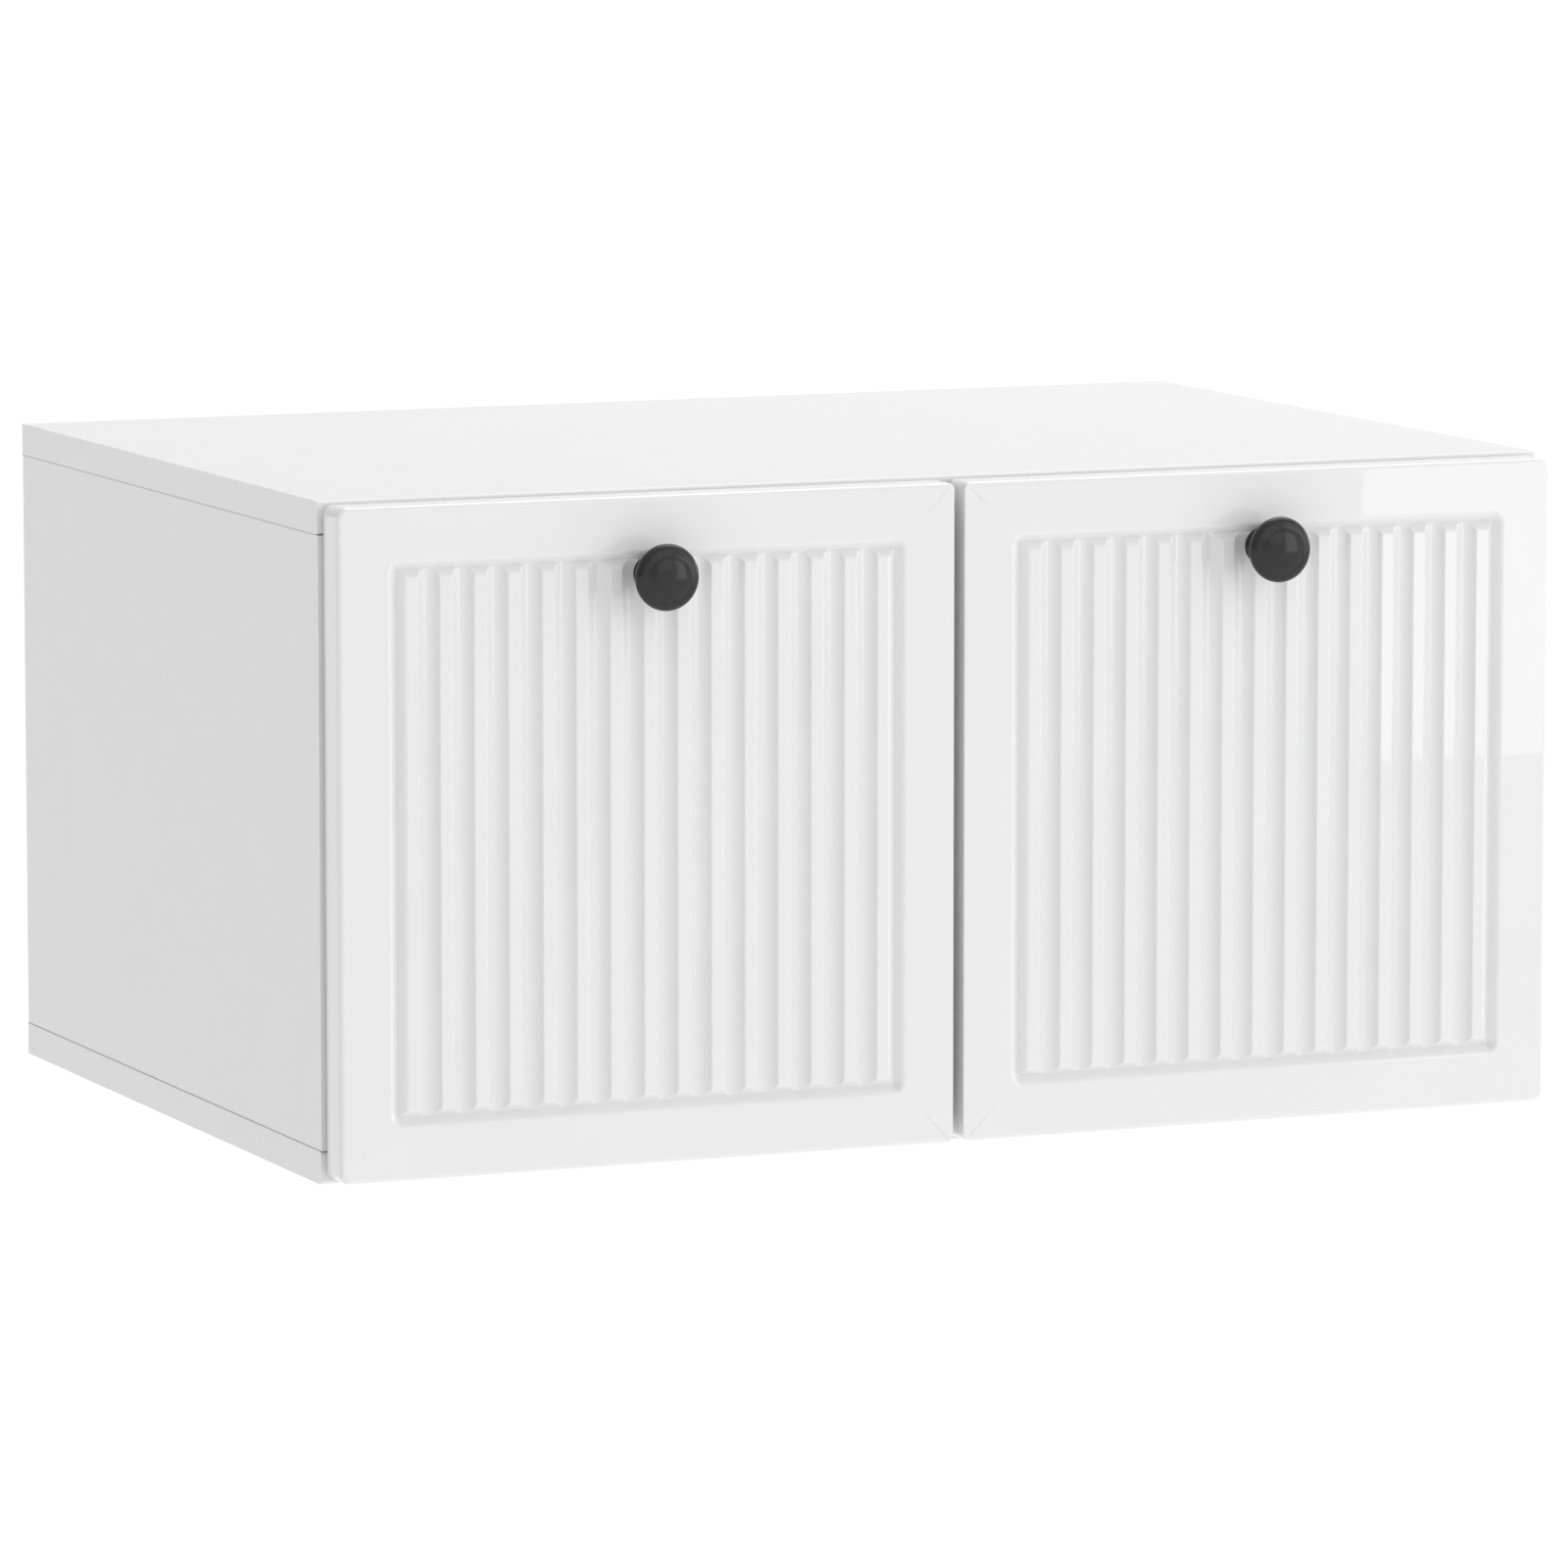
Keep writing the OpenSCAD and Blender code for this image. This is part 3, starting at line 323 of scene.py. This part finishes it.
def build_flap(side):
    """One flap's closed skin: milled front, rounded outline, and a back with two cup holes."""
    lo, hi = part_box("flap_" + side)
    cx, cz = (lo[0] + hi[0]) / 2, (lo[2] + hi[2]) / 2
    half_w, half_h = (hi[0] - lo[0]) / 2, (hi[2] - lo[2]) / 2
    thick = hi[1] - lo[1]
    meet = 1 if side == "left" else -1          # the side where the flaps meet
    xs, zs = samples_across(half_w - BORDER), samples_up(half_h - BORDER)
    grid_x, grid_z = np.meshgrid(xs, zs)
    height = field_height(grid_x, grid_z, half_w - BORDER, half_h - BORDER)
    height[0, :] = height[-1, :] = 0
    height[:, 0] = height[:, -1] = 0
    nx, nz = len(xs), len(zs)
    verts = [(grid_x[r, c], -height[r, c], grid_z[r, c]) for r in range(nz) for c in range(nx)]
    faces = [(r * nx + c, r * nx + c + 1, (r + 1) * nx + c + 1, (r + 1) * nx + c)
             for r in range(nz - 1) for c in range(nx - 1)]

    # The field's boundary, matched point by point with the flap's rounded outline
    def corner_r(sx):
        return MEET_CORNER_R if sx == meet else CORNER_R

    ring, outline = [], []
    runs = (("x", range(nx), 0, -1), ("z", range(nz), nx - 1, 1), ("x", range(nx - 1, -1, -1), nz - 1, 1),
            ("z", range(nz - 1, -1, -1), 0, -1))
    corners = ((1, -1, -math.pi / 2), (1, 1, 0.0), (-1, 1, math.pi / 2), (-1, -1, math.pi))
    for (along, order, fixed, sign), (sx, sz, start) in zip(runs, corners):
        for k in order:
            if along == "x":
                left, right = -half_w + corner_r(-1), half_w - corner_r(1)
                t = (xs[k] - xs[0]) / (xs[-1] - xs[0])
                ring.append(fixed * nx + k)
                outline.append((left + (right - left) * t, sign * half_h, 0.0, float(sign)))
            else:
                r = corner_r(sign)
                t = (zs[k] - zs[0]) / (zs[-1] - zs[0])
                ring.append(k * nx + fixed)
                outline.append((sign * half_w, (half_h - r) * (2 * t - 1), float(sign), 0.0))
        r = corner_r(sx)
        for point in arc_points((sx * (half_w - r), sz * (half_h - r)), r, start, ARC_STEPS):
            ring.append(ring[-1])
            outline.append(point)

    def loop(steps):
        """One ring of points: steps gives inset and depth for a front or back edge radius."""
        first = len(verts)
        for px, pz, ox, oz in outline:
            w = max(0.0, ox * meet)
            w = w * w * (3 - 2 * w)
            front_r = EDGE_R + (MEET_R - EDGE_R) * w
            inset, depth = steps(front_r)
            verts.append((px - ox * inset, depth, pz - oz * inset))
        return list(range(first, len(verts)))

    rings = [loop(lambda r: (r + LEDGE, 0.0))]
    for k in range(11):
        a = math.pi / 2 * k / 10
        rings.append(loop(lambda r, a=a: (r * (1 - math.sin(a)), r * (1 - math.cos(a)))))
    rings.append(loop(lambda r: (0.0, r + LEDGE)))
    rings.append(loop(lambda r: (0.0, thick - BACK_R - BACK_LEDGE)))
    for k in range(5):
        a = math.pi / 2 * k / 4
        rings.append(loop(lambda r, a=a: (BACK_R * (1 - math.cos(a)), thick - BACK_R * (1 - math.sin(a)))))
    rings.append(loop(lambda r: (BACK_R + LEDGE, thick)))
    count = len(ring)
    for j in range(count):
        n = (j + 1) % count
        if ring[j] == ring[n]:
            faces.append((ring[j], rings[0][j], rings[0][n]))
        else:
            faces.append((ring[j], rings[0][j], rings[0][n], ring[n]))
    for a, b in zip(rings, rings[1:]):
        faces += [(a[j], b[j], b[(j + 1) % count], a[(j + 1) % count]) for j in range(count)]

    # Back face with the two cup holes
    mouths = []
    for cup in ("outer", "inner"):
        c_lo, c_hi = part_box("hinge_cup_%s_%s" % (side, cup))
        px = (c_lo[0] + c_hi[0]) / 2 - cx
        pz = lo[2] + CUP_MARGIN + CUP_R - cz
        deep = []
        for depth in (thick, thick - CUP_DEPTH):
            first = len(verts)
            for k in range(CUP_STEPS):
                a = 2 * math.pi * k / CUP_STEPS
                verts.append((px + CUP_R * math.cos(a), depth, pz + CUP_R * math.sin(a)))
            deep.append(list(range(first, len(verts))))
        mouth, floor_ring = deep
        for k in range(CUP_STEPS):
            n = (k + 1) % CUP_STEPS
            faces.append((mouth[k], floor_ring[k], floor_ring[n], mouth[n]))
        faces.append(tuple(floor_ring))
        mouths.append(mouth)
    placed = [(v[0] + cx, v[1] + lo[1], v[2] + cz) for v in verts]
    work = bmesh.new()
    made = [work.verts.new(p) for p in placed]
    for f in faces:
        work.faces.new([made[i] for i in f])
    edges = []
    for chain in [rings[-1]] + mouths:
        for j in range(len(chain)):
            a, b = made[chain[j]], made[chain[(j + 1) % len(chain)]]
            edges.append(work.edges.get((a, b)) or work.edges.new((a, b)))
    bmesh.ops.triangle_fill(work, use_beauty=True, edges=edges)
    work.verts.index_update()
    faces = [tuple(v.index for v in f.verts) for f in work.faces]
    work.free()
    return add_object("flap_skin_" + side, placed, faces, gloss, "flap_" + side, "flap_gloss", "flap_" + side)


def knob_profile(length):
    """Radius and height of a knob's outline from its foot to the middle of its face."""
    rim, rim_z, dome = KNOB_RIM_R, length - KNOB_RIM_DOWN, KNOB_DOME_R
    foot, waist = KNOB_FOOT_R, KNOB_WAIST_R
    points = [(0.0, 0.0), (foot - 0.6 * MM, 0.0), (foot - 0.2 * MM, 0.15 * MM), (foot, 0.6 * MM),
              (foot, KNOB_FOOT_H)]
    top = rim_z - rim + 0.6 * MM
    for k in range(1, 16):
        t = k / 16
        swing = math.sin(math.pi * t) ** 0.8
        points.append((foot + 1.4 * MM * t ** 3 - (foot - waist) * swing, KNOB_FOOT_H + (top - 2.0 * MM) * t))
    for k in range(25):
        a = -math.pi / 2 + 0.15 + (math.pi - 0.35) * k / 24
        points.append((KNOB_R - rim + rim * math.cos(a), rim_z + rim * math.sin(a)))
    edge_r, edge_z = points[-1]
    for k in range(1, 13):
        r = edge_r * (1 - k / 12)
        face_z = length - dome + math.sqrt(dome ** 2 - r ** 2)
        w = min(1.0, k / 4)             # eases from the rim into the dome over four steps
        points.append((r, edge_z + (face_z - edge_z) * (w * w * (3 - 2 * w)) if k < 4 else face_z))
    return points


def build_knob(side):
    """One knob, its outline turned about Y."""
    lo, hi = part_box("knob_" + side)
    cx, cz = (lo[0] + hi[0]) / 2, (lo[2] + hi[2]) / 2
    profile = knob_profile(hi[1] - lo[1])
    turn = KNOB_STEPS
    verts, rows = [], []
    for r, h in profile:
        if r < 1e-6:
            rows.append([len(verts)] * turn)
            verts.append((cx, hi[1] - h, cz))
            continue
        rows.append(list(range(len(verts), len(verts) + turn)))
        for k in range(turn):
            a = 2 * math.pi * k / turn
            verts.append((cx + r * math.cos(a), hi[1] - h, cz + r * math.sin(a)))
    faces = []
    for a, b in zip(rows, rows[1:]):
        for k in range(turn):
            n = (k + 1) % turn
            corners = [a[k], a[n], b[n], b[k]]
            kept = [v for i, v in enumerate(corners) if v not in corners[:i]]
            if len(kept) > 2:
                faces.append(tuple(kept))
    return add_object("knob_turned_" + side, verts, faces, knob_paint, "flap_" + side, "knob_dark",
                      "knob_" + side)


for side in SIDES:
    build_flap(side)
    build_knob(side)


# ---- softened edges on the CAD pieces that stay ----

BEVELS = {"carcass_board": 0.5 * MM, "back_board": 0.3 * MM, "bright_steel": 0.12 * MM,
          "rail_steel": 0.2 * MM, "zinc": 0.15 * MM, "grey_plastic": 0.4 * MM, "strut_dark": 0.3 * MM,
          "pad_clear": 0.3 * MM, "beech": 0.4 * MM}
for part in frame["record"]["subparts"]:
    width = BEVELS.get(part["material_slot"])
    shown = frame["nodes"][part["node"]]
    if width and not shown.hide_render:
        soft = shown.modifiers.new("soft_edges", "BEVEL")
        soft.width = width
        soft.segments = 2
        soft.limit_method = "ANGLE"
        soft.angle_limit = math.radians(50)
        soft.harden_normals = True


# ---- stage, light and camera ----

FLOOR_Z = -0.9
FLOOR_REACH = 60.0
FLOOR_GLOW = 0.8
mesh = bpy.data.meshes.new("floor")
FLOOR_CORNERS = ((-1, -1), (1, -1), (1, 1), (-1, 1))
mesh.from_pydata([(x * FLOOR_REACH, y * FLOOR_REACH, FLOOR_Z) for x, y in FLOOR_CORNERS], [], [(0, 1, 2, 3)])
floor = bpy.data.objects.new("floor", mesh)
bpy.context.scene.collection.objects.link(floor)
pale = surface("pale_floor", grey(0.29), grey(0.31), (0.8, 0.9), (0.6, 2, 30), (1e-4, 1e-4), specular=0.1)
pale_inputs = pale.node_tree.nodes["Principled BSDF"].inputs
pale_inputs["Emission Color"].default_value = (1, 1, 1, 1)
pale_inputs["Emission Strength"].default_value = FLOOR_GLOW
mesh.materials.append(pale)

# The room: a little brighter to the right and above than to the left
ROOM_LEVEL = 0.7
ROOM_TILT = (0.36, 0.0, 0.15)
world = bpy.data.worlds.new("studio")
bpy.context.scene.world = world
world.use_nodes = True
tree = world.node_tree
toward = tree.nodes.new("ShaderNodeTexCoord").outputs["Generated"]
tilt = tree.nodes.new("ShaderNodeVectorMath")
tilt.operation = "DOT_PRODUCT"
tilt.inputs[1].default_value = ROOM_TILT
tree.links.new(toward, tilt.inputs[0])
level = node(tree, "ShaderNodeMapRange", From_Min=-1.0, From_Max=1.0, To_Min=ROOM_LEVEL - 1.0,
             To_Max=ROOM_LEVEL + 1.0)
tree.links.new(tilt.outputs["Value"], level.inputs["Value"])
tree.links.new(level.outputs["Result"], tree.nodes["Background"].inputs["Strength"])
tree.nodes["Background"].inputs["Color"].default_value = (1, 1, 1, 1)


def softbox(name, place, target, size, radiance):
    """An area light of a given brightness, whatever its size."""
    data = bpy.data.lights.new(name, "AREA")
    data.shape = "RECTANGLE"
    data.size, data.size_y = size
    data.energy = radiance * math.pi * size[0] * size[1]
    made = bpy.data.objects.new(name, data)
    bpy.context.scene.collection.objects.link(made)
    made.location = place
    away = [t - p for t, p in zip(target, place)]
    pitch = math.pi / 2 + math.atan2(away[2], math.hypot(away[0], away[1]))
    made.rotation_euler = (pitch, 0.0, math.atan2(away[1], away[0]) - math.pi / 2)


# front_box shows as a pale patch in the right flap's gloss: its left and lower edges are the patch's edges
PATCH_LEFT, PATCH_LOW = 1.702, -0.262
PATCH_SIZE = (1.8, 2.2)
PATCH_X, PATCH_Z = PATCH_LEFT + PATCH_SIZE[0] / 2, PATCH_LOW + PATCH_SIZE[1] / 2
LIGHTS = (
    # name, place, target, size, radiance
    ("front_box", (PATCH_X, -3.2, PATCH_Z), (PATCH_X, 0.0, PATCH_Z), PATCH_SIZE, 1.65),
    ("front_key", (0.55, -3.3, 1.15), (0.0, 0.0, 0.15), (1.5, 1.3), 0.7),
    ("right_box", (2.8, -0.65, 0.55), (0.0, -0.2, 0.27), (0.4, 0.9), 5.0),
    ("back_box", (2.6, 2.1, -0.25), (0.3, -0.2, 0.15), (1.4, 1.0), 1.5),
    ("ceiling_box", (0.9, 0.7, 2.6), (0.0, 0.0, 0.3), (2.0, 2.0), 1.85),
)
for light in LIGHTS:
    softbox(*light)

CAMERA_PLACE = (-1.74638, -4.09636, 0.72076)
CAMERA_DOWN = 7.4023        # degrees below the horizontal
CAMERA_TURN = -23.082       # degrees about Z, from looking along +Y
CAMERA_LENS = 219.35        # mm, on a sensor 36 mm wide
cam_data = bpy.data.cameras.new("camera")
cam_data.sensor_width = 36.0
cam_data.lens = CAMERA_LENS
cam_data.clip_end = 200.0
camera = bpy.data.objects.new("camera", cam_data)
bpy.context.scene.collection.objects.link(camera)
camera.location = CAMERA_PLACE
camera.rotation_euler = (math.radians(90 - CAMERA_DOWN), 0.0, math.radians(CAMERA_TURN))
bpy.context.scene.camera = camera
bpy.context.scene.view_settings.view_transform = "Standard"
